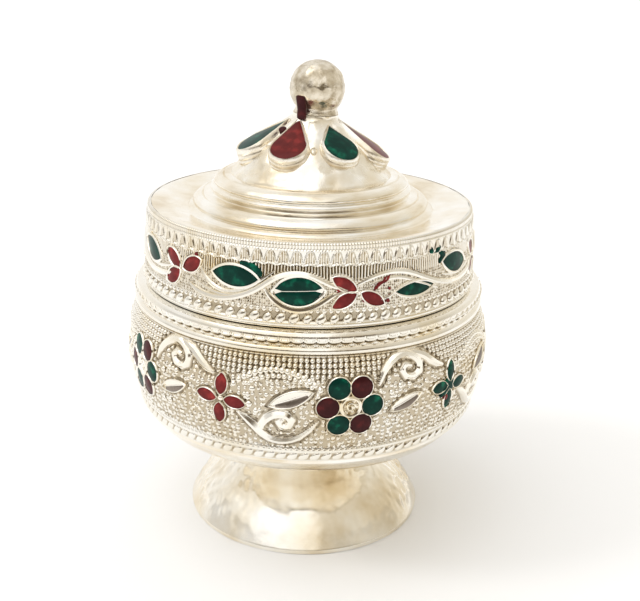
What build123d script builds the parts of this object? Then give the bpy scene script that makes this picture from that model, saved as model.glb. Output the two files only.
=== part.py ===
from build123d import *
import os
from math import asin, cos, degrees, radians, sin, sqrt

# A footed kumkum box with a lift-off lid, in millimetres.
# Z runs up the axis from the centre of the foot's resting rim, and -Y is the front.
# Azimuths are in degrees from the front, growing towards +X.

# Heights of the sections, from the foot up
foot_h = 11.6
dish_h = 5.31
hem_h = 1.51
belt_h = 11.99
shoulder_h = 2.6
band_h = 9.54
step_1_h = 1.93
step_2_h = 2.42
flower_h = 7.49

# Fits
joint_gap = 0.05  # between soldered or screwed pieces
lid_clearance = 0.2  # between the lid's bore and the neck it slips over
enamel_bed = 0.02  # between an enamel drop's flat back and the crown of the belt

# Foot: a hollow bell with an upright lip, a convex skirt and a waisted stem
foot_r = 15.75
foot_wall = 1.0
lip_h = 0.8
lip_step = 0.45
skirt_h = 0.68 * foot_h
skirt_bulge = 0.55
skirt_top_r = 9.3
waist_r = 8.4
stem_seat_r = 9.2

# Neck collar, which sets the size of the mouth
neck_r = 19.7
neck_wall = 0.8
neck_h = 0.63 * band_h
flange_w = 0.7
flange_h = 0.7

# Lid: a flared band that carries a stepped top
lid_wall = 0.75
lid_flare = 0.65
edge_h = 0.38
deck_dish = 0.9
deck_w = 0.95
sheet = 0.8
step_1_w = 2.66
step_2_w = 2.54
step_round = 0.65

# Finial: a six-petalled cast flower, a ball knob and the screw that holds both down
flower_r = 10.15
flower_wall_h = 2.5
flower_taper = 1.35
flower_neck_r = 2.9
flower_neck_h = 0.6
petal_slope = 32.0
petal_length = 0.67 * flower_r
petal_width = 0.433 * flower_r
petal_tip_r = 0.31 * flower_r
petal_rim = 0.5
petal_drop = 0.17
petal_step = 0.3
rim_h = 0.9
cup_depth = 2.6
enamel_depth = 0.5
petal_azimuths = (-26, 30, 83, 150, 217, 284)
ball_r = 3.45
collar_r = 2.8
collar_h = 0.5
ball_sink = 0.35
screw_r = 1.5
screw_length = 9.6
head_r = 2.75
head_h = 1.5
slot_w = 0.7
slot_depth = 0.6

# Bowl: a bulging embossed wall that stands on a dished base
shoulder_ledge = 0.7
belt_swell = 0.35
belt_bulge = 1.05
ridge = 0.35
bowl_wall = 1.0
mouth_land_h = 1.2
dish_inset = 0.2
dish_flat_r = 13.0
dish_bulge = 0.85
dish_wall = 0.9
dish_rim_h = 0.5
spigot_h = 1.2
spigot_wall = 0.8

# Enamel on the lid's band: blossoms with leaves between them, on a wave of two blossoms
cell_depth = 0.4
waves = 3
low_blossom_azimuth = 15.6
high_blossom_azimuth = -44.4
low_blossom_h = 0.46 * band_h
high_blossom_h = 0.52 * band_h
leaf_offset = 20.0
high_leaf_h = 0.59 * band_h
broad_leaf_h = 0.47 * band_h
slim_leaf_h = 0.41 * band_h
leaf_length = 5.7
leaf_width = 2.1
leaf_tilts = (("left", -1, -12.0), ("right", 1, -2.0))
broad_leaf_width = 3.1
slim_leaf_width = 1.5
vein_w = 0.3
blossom_petal_length = 3.15
blossom_reach = 1.9
low_petal_width = 1.35
high_petal_width = 1.65
low_petal_angles = (150, 210, -29)
high_petal_angles = (148, 29, 216)

# Enamel on the bowl's belt: rosettes and four-petalled flowers in turn
drop_h = 0.3
motif_pairs = 5
rosette_azimuth = 12.5
flower_azimuth = -25.0
rosette_petals = 6
rosette_reach = 0.2185 * belt_h
rosette_petal_r = 0.1 * belt_h
quatrefoil_reach = 0.1525 * belt_h
quatrefoil_length = 0.221 * belt_h
quatrefoil_width = 0.121 * belt_h
quatrefoil_tilt = -4.0

# Heights above the foot's rim
ledge_z = foot_h + dish_h
belt_low_z = ledge_z + hem_h
belt_mid_z = belt_low_z + belt_h / 2
belt_high_z = belt_low_z + belt_h
shoulder_z = belt_high_z + shoulder_h
land_z = shoulder_z - mouth_land_h
deck_z = shoulder_z + band_h
deck_low_z = deck_z + edge_h - deck_dish
step_1_z = deck_low_z + step_1_h
seat_z = step_1_z + step_2_h
knob_z = seat_z + flower_h

# Radii that follow from the mouth outwards
mouth_r = neck_r + joint_gap
lid_bore_r = neck_r + lid_clearance
lid_top_r = lid_bore_r + lid_wall
lid_rim_r = lid_top_r + lid_flare
shoulder_r = lid_rim_r + shoulder_ledge
belt_edge_r = shoulder_r + belt_swell
bowl_r = belt_edge_r + belt_bulge
dish_r = shoulder_r - dish_inset
hem_bore_r = shoulder_r - bowl_wall - dish_inset
step_2_r = flower_r + step_2_w
step_1_r = step_2_r + step_1_w
belt_curve_r = ((belt_h / 2) ** 2 + belt_bulge**2) / (2 * belt_bulge)


def spun(*lines):
    """A solid of revolution about Z from a closed outline drawn as (radius, height)."""
    return revolve(Plane.XZ * make_face(lines), Axis.Z)


def facing(azimuth, radius, height, tilt=0.0):
    """A plane whose normal points outwards at an azimuth, tilted up by tilt degrees."""
    turn = radians(azimuth)
    lift = radians(tilt)
    out = (sin(turn), -cos(turn))
    return Plane(
        origin=(radius * out[0], radius * out[1], height),
        x_dir=(cos(turn), sin(turn), 0),
        z_dir=(cos(lift) * out[0], cos(lift) * out[1], sin(lift)),
    )


def almond(length, width):
    """A pointed leaf along X, of two equal arcs."""
    tips = (-length / 2, 0), (length / 2, 0)
    return make_face([SagittaArc(*tips, width / 2), SagittaArc(*tips, -width / 2)])


def half_leaf(length, width, side):
    """One lobe of a leaf that a vein parts along its length."""
    tips = (-length / 2, side * vein_w / 2), (length / 2, side * vein_w / 2)
    return make_face([SagittaArc(*tips, side * (width - vein_w) / 2), Line(*tips)])


def pear(length, width):
    """A teardrop along X, with its tip at the origin and a round far end."""
    round_r = width / 2
    centre = length - round_r
    lean = asin(round_r / centre)
    side = centre * cos(lean)
    high = (side * cos(lean), side * sin(lean))
    low = (high[0], -high[1])
    return make_face([Line((0, 0), high), ThreePointArc(high, (length, 0), low), Line(low, (0, 0))])


def make_foot():
    """Hollow pedestal, open below and soldered under the dish by the top of its stem."""
    skirt_foot = (foot_r - lip_step, lip_h)
    skirt_top = (skirt_top_r, skirt_h)
    waist = (waist_r, (skirt_h + foot_h) / 2)
    stem_bore_r = waist_r - foot_wall
    return spun(
        Polyline((foot_r - lip_step - foot_wall, 0), (foot_r, 0), (foot_r, lip_h), skirt_foot),
        SagittaArc(skirt_foot, skirt_top, -skirt_bulge),
        ThreePointArc(skirt_top, waist, (stem_seat_r, foot_h)),
        Polyline(
            (stem_seat_r, foot_h),
            (stem_bore_r, foot_h),
            (stem_bore_r, skirt_h - foot_wall),
            (foot_r - lip_step - foot_wall, 0),
        ),
    )


def make_base_dish():
    """Floor of the bowl, with a rim for the wall to stand on and a spigot that centres it."""
    spigot_r = hem_bore_r - joint_gap
    floor_z = foot_h + dish_wall
    rim_low = (dish_r, ledge_z - dish_rim_h)
    knee = (spigot_r - 2 * spigot_wall, (floor_z + ledge_z) / 2)
    return spun(
        Line((0, foot_h), (dish_flat_r, foot_h)),
        SagittaArc((dish_flat_r, foot_h), rim_low, -dish_bulge),
        Polyline(
            rim_low,
            (dish_r, ledge_z),
            (spigot_r, ledge_z),
            (spigot_r, ledge_z + spigot_h),
            (spigot_r - spigot_wall, ledge_z + spigot_h),
            (spigot_r - spigot_wall, ledge_z),
            knee,
            (dish_flat_r, floor_z),
            (0, floor_z),
            (0, foot_h),
        ),
    )


def make_bowl_wall():
    """Bulging wall: a corded hem, the ornament belt and a shoulder of two ridges round the mouth."""
    pinch_z = belt_high_z + shoulder_h / 2
    return spun(
        Line((hem_bore_r, ledge_z), (shoulder_r, ledge_z)),
        SagittaArc((shoulder_r, ledge_z), (belt_edge_r, belt_low_z), -ridge),
        SagittaArc((belt_edge_r, belt_low_z), (belt_edge_r, belt_high_z), -belt_bulge),
        SagittaArc((belt_edge_r, belt_high_z), (shoulder_r, pinch_z), -ridge),
        SagittaArc((shoulder_r, pinch_z), (shoulder_r, shoulder_z), -ridge),
        Polyline(
            (shoulder_r, shoulder_z),
            (mouth_r, shoulder_z),
            (mouth_r, land_z),
            (mouth_r + bowl_wall, land_z),
            (belt_edge_r - bowl_wall, belt_high_z),
            (bowl_r - bowl_wall, belt_mid_z),
            (hem_bore_r, belt_low_z),
            (hem_bore_r, ledge_z),
        ),
    )


def make_neck_collar():
    """Tube that lines the mouth: its flange bears up under the land, and the lid slips over it."""
    return spun(
        Polyline(
            (neck_r - neck_wall, land_z - flange_h),
            (neck_r + flange_w, land_z - flange_h),
            (neck_r + flange_w, land_z),
            (neck_r, land_z),
            (neck_r, shoulder_z + neck_h),
            (neck_r - neck_wall, shoulder_z + neck_h),
            close=True,
        )
    )


def make_lid_band():
    """Flared sleeve with a straight bore."""
    return spun(
        Polyline(
            (lid_bore_r, shoulder_z),
            (lid_rim_r, shoulder_z),
            (lid_top_r, deck_z),
            (lid_bore_r, deck_z),
            close=True,
        )
    )


def make_lid_top():
    """Stepped cover whose rim rests on the band and whose spigot drops inside it."""
    hole_r = screw_r + joint_gap
    spigot_r = lid_bore_r - joint_gap
    under_z = deck_low_z - sheet
    seat = (flower_r, seat_z)
    step_2 = (step_2_r, step_1_z)
    step_1 = (step_1_r, deck_low_z)
    return spun(
        Line((hole_r, seat_z), seat),
        ThreePointArc(seat, (step_2_r - step_round, seat_z - step_round), step_2),
        ThreePointArc(step_2, (step_1_r - step_round, step_1_z - step_round), step_1),
        Polyline(
            step_1,
            (lid_top_r - deck_w, deck_z + edge_h),
            (lid_top_r, deck_z + edge_h),
            (lid_top_r, deck_z),
            (spigot_r, deck_z),
            (spigot_r, under_z),
            (step_1_r - sheet, under_z),
            (step_1_r - 2 * sheet, under_z + sheet),
            (step_2_r - sheet * 1.5, step_1_z - sheet),
            (step_2_r - sheet * 1.5, seat_z - sheet * 2),
            (flower_r - sheet, seat_z - sheet),
            (hole_r, seat_z - sheet),
            (hole_r, seat_z),
        ),
    )


def petal_plane(azimuth):
    """The sloping plane of a petal's rim, with X running outwards from the petal's tip."""
    turn = radians(azimuth)
    slope = radians(petal_slope)
    out = (sin(turn), -cos(turn))
    tip_z = knob_z - flower_neck_h - petal_drop
    return Plane(
        origin=(petal_tip_r * out[0], petal_tip_r * out[1], tip_z),
        x_dir=(cos(slope) * out[0], cos(slope) * out[1], -sin(slope)),
        z_dir=(sin(slope) * out[0], sin(slope) * out[1], cos(slope)),
    )


def make_flower(petal_planes, fills):
    """Cast flower: a tapered boss with a cup for each petal, drilled for the screw."""
    boss_r = flower_r - flower_taper
    wall_z = seat_z + flower_wall_h
    boss = spun(
        Polyline(
            (0, seat_z),
            (flower_r, seat_z),
            (flower_r - flower_taper / 3, seat_z + flower_wall_h / 2),
            (boss_r, wall_z),
            (flower_neck_r, knob_z - flower_neck_h),
            (flower_neck_r, knob_z),
            (0, knob_z),
            close=True,
        )
    )
    outline = pear(petal_length, petal_width)
    rim = offset(outline, petal_rim)
    base = offset(outline, petal_rim + petal_step)
    cups = [extrude(plane * rim, -cup_depth) for plane in petal_planes]
    steps = [extrude(plane.offset(-rim_h) * base, rim_h - cup_depth) for plane in petal_planes]
    drill = Cylinder(screw_r + joint_gap, 2 * knob_z)
    return boss + cups + steps - fills - drill


def make_knob():
    """Ball on a thin collar, bored for the end of the screw."""
    ball_z = knob_z + ball_r - ball_sink
    collar_top = knob_z + collar_h
    ball_foot_r = sqrt(ball_r**2 - (ball_z - collar_top) ** 2)
    bore_r = screw_r + joint_gap
    bore_z = seat_z - sheet + screw_length + joint_gap
    return spun(
        Polyline((bore_r, bore_z), (bore_r, knob_z), (collar_r, knob_z), (collar_r, collar_top),
                 (ball_foot_r, collar_top)),
        ThreePointArc((ball_foot_r, collar_top), (ball_r, ball_z), (0, ball_z + ball_r)),
        Polyline((0, ball_z + ball_r), (0, bore_z), (bore_r, bore_z)),
    )


def make_screw():
    """Slotted screw up through the lid and the flower into the ball."""
    under_z = seat_z - sheet
    up = (Align.CENTER, Align.CENTER, Align.MIN)
    shank = Pos(0, 0, under_z) * Cylinder(screw_r, screw_length, align=up)
    head = Pos(0, 0, under_z - head_h) * Cylinder(head_r, head_h, align=up)
    slot = Pos(0, 0, under_z - head_h) * Box(2 * head_r, slot_w, slot_depth, align=up)
    return shank + head - slot


def band_enamel(azimuth, height, *outlines):
    """Enamel let into the band, flush with its face, one solid for each outline."""
    skin = spun(
        Polyline(
            (lid_rim_r - cell_depth, shoulder_z),
            (lid_rim_r, shoulder_z),
            (lid_top_r, deck_z),
            (lid_top_r - cell_depth, deck_z),
            close=True,
        )
    )
    plane = facing(azimuth, lid_bore_r / 2, shoulder_z + height)
    return Part() + [extrude(plane * outline, lid_bore_r) & skin for outline in outlines]


def blossom_petals(width, angles):
    """Pointed petals at angles round a blossom's centre."""
    petal = almond(blossom_petal_length, width)
    return [Rot(0, 0, angle) * Pos(blossom_reach, 0) * petal for angle in angles]


def make_band_enamels():
    """Blossoms and leaves by name, in each wave round the band."""
    high_leaf = almond(leaf_length, leaf_width)
    broad_leaf = [half_leaf(leaf_length, broad_leaf_width, side) for side in (1, -1)]
    slim_leaf = almond(leaf_length, slim_leaf_width)
    low_blossom = blossom_petals(low_petal_width, low_petal_angles)
    high_blossom = blossom_petals(high_petal_width, high_petal_angles)
    nodes = {}
    for wave in range(waves):
        turn = 360 / waves * wave
        low = low_blossom_azimuth + turn
        high = high_blossom_azimuth + turn
        nodes[f"low_blossom_{wave + 1}"] = band_enamel(low, low_blossom_h, *low_blossom)
        nodes[f"high_blossom_{wave + 1}"] = band_enamel(high, high_blossom_h, *high_blossom)
        for name, side, tilt in leaf_tilts:
            tilted = Rot(0, 0, tilt) * high_leaf
            leaf_azimuth = high + side * leaf_offset
            nodes[f"high_leaf_{name}_{wave + 1}"] = band_enamel(leaf_azimuth, high_leaf_h, tilted)
        nodes[f"broad_leaf_{wave + 1}"] = band_enamel(low - leaf_offset, broad_leaf_h, *broad_leaf)
        nodes[f"slim_leaf_{wave + 1}"] = band_enamel(low + leaf_offset, slim_leaf_h, slim_leaf)
    return nodes


def belt_drop(azimuth, across, rise, outline):
    """An enamel drop on the belt, bedded flat on the crown at an offset from a motif's centre."""
    lean = asin(rise / belt_curve_r)
    radius = bowl_r - belt_curve_r * (1 - cos(lean))
    plane = facing(azimuth + degrees(across / bowl_r), radius, belt_mid_z + rise, degrees(lean))
    return extrude(plane.offset(enamel_bed) * outline, drop_h)


def ring_of_drops(azimuth, angles, reach, outline):
    """Drops at angles round a motif's centre, each turned outwards."""
    drops = []
    for angle in angles:
        turned = Rot(0, 0, angle) * outline
        across = reach * cos(radians(angle))
        rise = reach * sin(radians(angle))
        drops.append(belt_drop(azimuth, across, rise, turned))
    return Part() + drops


def make_belt_enamels():
    """Rosettes of two colours and four-petalled flowers by name, in turn round the belt."""
    petal = almond(quatrefoil_length, quatrefoil_width)
    step = 360 / rosette_petals
    nodes = {}
    for pair in range(motif_pairs):
        turn = 360 / motif_pairs * pair
        for first, colour in ((0, "green"), (1, "red")):
            angles = [step * place for place in range(first, rosette_petals, 2)]
            nodes[f"rosette_{colour}_{pair + 1}"] = ring_of_drops(
                rosette_azimuth + turn, angles, rosette_reach, Circle(rosette_petal_r)
            )
        angles = [quatrefoil_tilt + quarter for quarter in (0, 90, 180, 270)]
        nodes[f"quatrefoil_{pair + 1}"] = ring_of_drops(
            flower_azimuth + turn, angles, quatrefoil_reach, petal
        )
    return nodes


petal_planes = [petal_plane(azimuth) for azimuth in petal_azimuths]
petal_fill = pear(petal_length, petal_width)
petal_enamels = [extrude(plane * petal_fill, -enamel_depth) for plane in petal_planes]
band_enamels = make_band_enamels()

nodes = {
    "foot": make_foot(),
    "base_dish": make_base_dish(),
    "bowl_wall": make_bowl_wall(),
    "neck_collar": make_neck_collar(),
    "lid_band": make_lid_band() - list(band_enamels.values()),
    "lid_top": make_lid_top(),
    "finial_flower": make_flower(petal_planes, petal_enamels),
    "finial_knob": make_knob(),
    "finial_screw": make_screw(),
}
nodes.update({f"petal_enamel_{k + 1}": fill for k, fill in enumerate(petal_enamels)})
nodes.update(band_enamels)
nodes.update(make_belt_enamels())

os.makedirs("parts", exist_ok=True)
for name, shape in nodes.items():
    export_step(shape, f"parts/{name}.step")
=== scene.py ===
from math import atan2, cos, degrees, hypot, pi, radians, sin, sqrt

import bmesh
import bpy
import numpy as np
from mathutils import Matrix, Vector, noise


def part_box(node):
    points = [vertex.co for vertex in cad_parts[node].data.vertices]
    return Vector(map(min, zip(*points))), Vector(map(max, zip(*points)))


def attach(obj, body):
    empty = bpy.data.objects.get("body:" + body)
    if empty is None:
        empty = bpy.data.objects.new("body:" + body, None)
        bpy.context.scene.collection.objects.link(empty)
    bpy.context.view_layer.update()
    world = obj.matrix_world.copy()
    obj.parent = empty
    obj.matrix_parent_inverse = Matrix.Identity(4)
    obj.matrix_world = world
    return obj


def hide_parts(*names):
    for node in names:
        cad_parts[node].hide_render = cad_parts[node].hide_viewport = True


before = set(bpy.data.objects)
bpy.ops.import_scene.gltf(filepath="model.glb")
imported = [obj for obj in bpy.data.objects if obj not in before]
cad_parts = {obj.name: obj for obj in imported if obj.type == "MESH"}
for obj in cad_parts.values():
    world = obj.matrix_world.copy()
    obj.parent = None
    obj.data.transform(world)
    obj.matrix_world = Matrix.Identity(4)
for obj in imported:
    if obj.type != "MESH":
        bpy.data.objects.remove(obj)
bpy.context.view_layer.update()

# A footed kumkum box in silver plate with red and green enamel.
# Lengths below are in millimetres, with Z up the axis and the front at -Y.
# Azimuths are in degrees from the front, growing towards +X.
mm = 0.001


def round_node(node):
    """Outer radius, lowest and highest point of a round CAD node."""
    low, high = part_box(node)
    return high.x / mm, low.z / mm, high.z / mm


foot_r, foot_low, foot_top = round_node("foot")
dish_r, dish_low, dish_top = round_node("base_dish")
bowl_r, ledge_z, shoulder_z = round_node("bowl_wall")
flange_r, flange_z, neck_top = round_node("neck_collar")
rim_r, band_low, deck_z = round_node("lid_band")
edge_r, under_z, seat_z = round_node("lid_top")
flower_r = round_node("finial_flower")[0]
ball_r, knob_z, ball_top = round_node("finial_knob")

# Bowl
belt_low = ledge_z + 1.51
belt_high = shoulder_z - 2.6
belt_mid = (belt_low + belt_high) / 2
belt_h = belt_high - belt_low
belt_bulge = 1.05
belt_edge_r = bowl_r - belt_bulge
belt_curve = ((belt_h / 2) ** 2 + belt_bulge**2) / (2 * belt_bulge)
shoulder_r = 22.0
mouth_r = 19.75
wall = 1.0

# Motifs round the belt, five pairs
pairs = 5
pair_turn = 360 / pairs
rosette_azimuth = 12.5
quatrefoil_azimuth = -25.0
rosette_reach = 0.2185 * belt_h
rosette_petal_r = 0.106 * belt_h
quatrefoil_reach = 0.1525 * belt_h
quatrefoil_length = 0.221 * belt_h
quatrefoil_width = 0.121 * belt_h
quatrefoil_tilt = -4.0
silver_leaf_tilt = 20.0
# Each plain leaf's azimuth, height above the belt's middle, length and width
silver_leaves = ((-4.2, 0.95, 5.4, 1.75), (29.7, -0.35, 4.6, 1.5))
# Rows that repeat along a pair: grains of the ground, scallops and cords of the hem
grain_columns = 44
grain_turn = pair_turn / grain_columns
grain_h = 0.6
grain_r = 0.31
grain_rise = 0.23
ground_depth = 0.14
scallops = 20
hem_cords = 21
scroll_r = 0.46
eye_r = 1.12
swirl_r = 0.62
stud_r = 0.34

# Frieze round the lid's band, three waves
band_h = deck_z - band_low
band_foot = band_low + 0.1
band_top = deck_z + 0.37
waves = 3
wave_turn = 360 / waves
low_azimuth = 15.6
high_azimuth = -44.4
low_z = band_low + 0.46 * band_h
high_z = band_low + 0.52 * band_h
high_leaf_z = band_low + 0.59 * band_h
broad_leaf_z = band_low + 0.47 * band_h
slim_leaf_z = band_low + 0.41 * band_h
broad_leaf_w = 3.25
broad_leaf_shift = 1.4
broad_leaf_tilt = 3.0
leaf_offset = 20.0
leaf_length = 5.7
blossom_reach = 1.9
petal_length = 3.15
vein_w = 0.06
vine_r = 0.32
arches = 29
arch_turn = wave_turn / arches
arch_shift = 0.35
# Heights above the band's lower edge
ground_low = 2.45
ground_high = 7.45
arch_low = 7.6
arch_h = 1.45
rib_low = 9.15
# Count along a wave, turn, height, radius, rise and slant of each row of beads
bead_rows = ((arches, -0.1, 1.3, 0.63, 0.36, 0.3), (2 * arches, 0.9, 2.15, 0.3, 0.2, 0.0))
hatch_lines_per_degree = 1.025
speck_turn = 0.75
speck_h = 0.32

# Finial petals
cup_slope = radians(32.0)
cup_length = 0.67 * flower_r
cup_width = 0.433 * flower_r
cup_tip_r = 0.31 * flower_r
cup_tip_z = knob_z - 0.77
# Each petal's azimuth, shift outwards, length and twist: the casting is uneven
petal_cups = (
    (-25, 0.1, 7.5, 8.8),
    (30, -0.4, 6.0, 0.0),
    (83, 0.9, 8.2, 0.0),
    (150, 0.0, 6.8, 0.0),
    (217, 0.0, 6.8, 0.0),
    (285, 0.75, 7.3, 0.0),
)
# Each step of a cup's side: half its width, and its lowest and highest point from the petal's face
cup_steps = ((0.28, -1.2, 0.13), (0.44, -1.8, -0.42), (0.58, -2.3, -0.86), (0.74, -2.8, -1.32))
# Colour and finish of the petals in turn; the pieces take only the finish, and the colour is not used
petal_enamels = (("red_enamel", "wine_enamel"), ("green_enamel", "green_enamel"))
finial_lean = 0.05


# Outlines, as the distance of a point outside them

def almond(length, width):
    """A pointed leaf along X, of two equal arcs."""
    curve = (length**2 / 4 + width**2 / 4) / width
    drop = curve - width / 2
    return lambda x, y: np.maximum(np.hypot(x, y + drop), np.hypot(x, y - drop)) - curve


def disc(radius):
    return lambda x, y: np.hypot(x, y) - radius


def lobe(length, width, side):
    """The half of a leaf on one side of its vein, about the lobe's own middle."""
    leaf = almond(length, width)
    middle = side * width / 4
    return lambda x, y: np.maximum(leaf(x, y + middle), vein_w / 2 - side * (y + middle))


def pear(length, width):
    """A teardrop along X about the middle of its round end, with its tip towards -X."""
    radius = width / 2
    tip = radius - length
    lean = radius / -tip

    def gap(x, y):
        flank = np.abs(y) * sqrt(1 - lean**2) - (x - tip) * lean
        cone = np.maximum(flank, x + radius * lean)
        return np.minimum(np.hypot(x, y) - radius, cone)

    return gap


def reach(gap, turn):
    """How far an outline lies from its middle in a direction."""
    near, far = 0.0, 9.0
    for _ in range(26):
        middle = (near + far) / 2
        if gap(middle * cos(turn), middle * sin(turn)) < 0:
            near = middle
        else:
            far = middle
    return near


# Surfaces that the ornament lies on

def belt_skin(z):
    """The belt's outer radius at a height."""
    return bowl_r - belt_curve + np.sqrt(np.maximum(belt_curve**2 - (z - belt_mid) ** 2, 0))


def band_skin(z):
    """The lid band's outer radius at a height."""
    return rim_r + (edge_r - rim_r) * (z - band_low) / band_h


def at(radius, azimuth, z):
    turn = radians(azimuth)
    return Vector((radius * sin(turn), -radius * cos(turn), z)) * mm


def on_skin(skin, azimuth, z, tilt=0.0):
    """Lays a flat motif on a round skin: across, up and out from a point."""
    lean = radians(tilt)

    def place(x, y, out):
        high = z + x * sin(lean) + y * cos(lean)
        across = x * cos(lean) - y * sin(lean)
        radius = float(skin(z))
        return at(float(skin(high)) + out, azimuth + degrees(across / radius), high)

    return place


def on_cup(azimuth, shift, twist):
    """Lays a petal on its sloping plane, about the middle of the pear's round end."""
    turn = radians(azimuth)
    lean = radians(twist)
    away = Vector((sin(turn), -cos(turn), 0))
    along = away * cos(cup_slope) - Vector((0, 0, sin(cup_slope)))
    across = Vector((0, 0, 1)).cross(away)
    normal = along.cross(across)
    tip = at(cup_tip_r, azimuth, cup_tip_z) / mm
    middle = tip + along * (cup_length - cup_width / 2 + shift)
    ahead = along * cos(lean) + across * sin(lean)
    aside = across * cos(lean) - along * sin(lean)
    return lambda x, y, out: (middle + ahead * x + aside * y + normal * out) * mm


# Cells of enamel: node, azimuth, height, tilt and outline

def ring_of_cells(node, skin, azimuth, z, length, angles, gap, turn=0.0):
    """Cells at angles round a motif's middle, each turned outwards."""
    cells = []
    for angle in angles:
        lean = radians(angle + turn)
        away = degrees(length * cos(lean) / float(skin(z)))
        cells.append((node, azimuth + away, z + length * sin(lean), angle + turn, gap))
    return cells


def band_cells(wave):
    """Blossoms and leaves of one wave of the lid's frieze."""
    low = low_azimuth + wave_turn * wave
    high = high_azimuth + wave_turn * wave
    number = wave + 1
    low_petal = almond(petal_length, 1.35)
    high_petal = almond(petal_length, 1.65)
    leaf = almond(leaf_length, 2.35)
    cells = ring_of_cells(
        f"low_blossom_{number}", band_skin, low, low_z, blossom_reach, (150, 210, -29), low_petal
    )
    cells += ring_of_cells(
        f"high_blossom_{number}", band_skin, high, high_z, blossom_reach, (148, 29, 216), high_petal
    )
    cells.append((f"high_leaf_left_{number}", high - leaf_offset, high_leaf_z, -12.0, leaf))
    cells.append((f"high_leaf_right_{number}", high + leaf_offset + 1.1, high_leaf_z, -2.0, leaf))
    for side in (1, -1):
        height = broad_leaf_z + side * broad_leaf_w / 4
        half = lobe(leaf_length, broad_leaf_w, side)
        azimuth = low - leaf_offset + broad_leaf_shift
        cells.append((f"broad_leaf_{number}", azimuth, height, broad_leaf_tilt, half))
    cells.append((f"slim_leaf_{number}", low + leaf_offset, slim_leaf_z, 0.0, almond(leaf_length, 1.5)))
    return cells


def belt_cells(pair):
    """Rosette and four-petalled flower of one pair on the belt."""
    number = pair + 1
    rosette = rosette_azimuth + pair_turn * pair
    flower = quatrefoil_azimuth + pair_turn * pair
    petal = disc(rosette_petal_r)
    leaf = almond(quatrefoil_length, quatrefoil_width)
    cells = ring_of_cells(
        f"rosette_green_{number}", belt_skin, rosette, belt_mid, rosette_reach, (0, 120, 240), petal
    )
    cells += ring_of_cells(
        f"rosette_red_{number}", belt_skin, rosette, belt_mid, rosette_reach, (60, 180, 300), petal
    )
    cells += ring_of_cells(
        f"quatrefoil_{number}", belt_skin, flower, belt_mid, quatrefoil_reach, (0, 90, 180, 270), leaf,
        quatrefoil_tilt,
    )
    return cells


def enamel_colour(node):
    number = int(node.rsplit("_", 1)[1])
    if "green" in node or "leaf" in node:
        return "green_enamel"
    if "red" in node or "blossom" in node:
        return "red_enamel"
    return "red_enamel" if number % 2 else "green_enamel"


# Materials

def feed(tree, node, **inputs):
    """Sets inputs of a node, or links them where they are outputs of other nodes."""
    for name, value in inputs.items():
        socket = node.inputs[name.replace("_", " ")]
        if isinstance(value, bpy.types.NodeSocket):
            tree.links.new(value, socket)
        else:
            socket.default_value = value
    return node


def add_node(tree, kind, **inputs):
    return feed(tree, tree.nodes.new(f"ShaderNode{kind}"), **inputs)


def new_material(name):
    """A material with a plain shader, its node tree and the shader."""
    material = bpy.data.materials.new(name)
    material.use_nodes = True
    tree = material.node_tree
    tree.nodes.clear()
    shader = add_node(tree, "BsdfPrincipled")
    add_node(tree, "OutputMaterial", Surface=shader.outputs["BSDF"])
    return material, tree, shader


def add_noise(tree, scale, detail, stretch=(1, 1, 1)):
    """Noise on the object's own coordinates, stretched along its axes."""
    place = add_node(tree, "TexCoord").outputs["Object"]
    mapping = add_node(tree, "Mapping", Vector=place, Scale=stretch)
    texture = add_node(tree, "TexNoise", Vector=mapping.outputs["Vector"], Scale=scale, Detail=detail)
    return texture.outputs["Fac"]


def add_ramp(tree, value, *stops):
    """Colours at positions along a value."""
    ramp = add_node(tree, "ValToRGB", Fac=value)
    points = ramp.color_ramp.elements
    while len(points) < len(stops):
        points.new(0.5)
    for point, (position, colour) in zip(points, stops):
        point.position = position
        point.color = (*colour, 1)
    return ramp.outputs["Color"]


def add_range(tree, value, low, high, first=0.3, last=0.7):
    """A value spread over a range."""
    spread = add_node(tree, "MapRange", Value=value, From_Min=first, From_Max=last, To_Min=low, To_Max=high)
    return spread.outputs["Result"]


def add_mix(tree, kind, share, first, second):
    """Two colours mixed by a share, which is a number or a value."""
    mix = tree.nodes.new("ShaderNodeMix")
    mix.data_type = "RGBA"
    mix.blend_type = kind
    return feed(tree, mix, Factor=share, A=first, B=second).outputs["Result"]


def add_math(tree, operation, *values):
    node = tree.nodes.new("ShaderNodeMath")
    node.operation = operation
    for socket, value in zip(node.inputs, values):
        tree.links.new(value, socket)
    return node.outputs["Value"]


def add_bump(tree, shader, value, strength, depth):
    bump = add_node(tree, "Bump", Height=value, Strength=strength, Distance=depth * mm)
    feed(tree, shader, Normal=bump.outputs["Normal"])


# Colours of the silver, from its bright patches to its yellowed ones
pale = (0.97, 0.945, 0.885), (0.93, 0.88, 0.775), (0.84, 0.73, 0.51)
plate = (0.93, 0.905, 0.845), (0.88, 0.83, 0.73), (0.8, 0.69, 0.48)
tan = (0.97, 0.945, 0.885), (0.88, 0.805, 0.665), (0.7, 0.575, 0.38)
worn = (0.88, 0.82, 0.71), (0.74, 0.645, 0.49), (0.52, 0.41, 0.27)
dull = (0.82, 0.75, 0.63), (0.62, 0.545, 0.42), (0.38, 0.31, 0.21)
# The dark set is painted shade, for the lower halves of the belt's plain leaves.
dark = (0.34, 0.29, 0.25), (0.22, 0.18, 0.15), (0.14, 0.11, 0.09)


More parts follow.
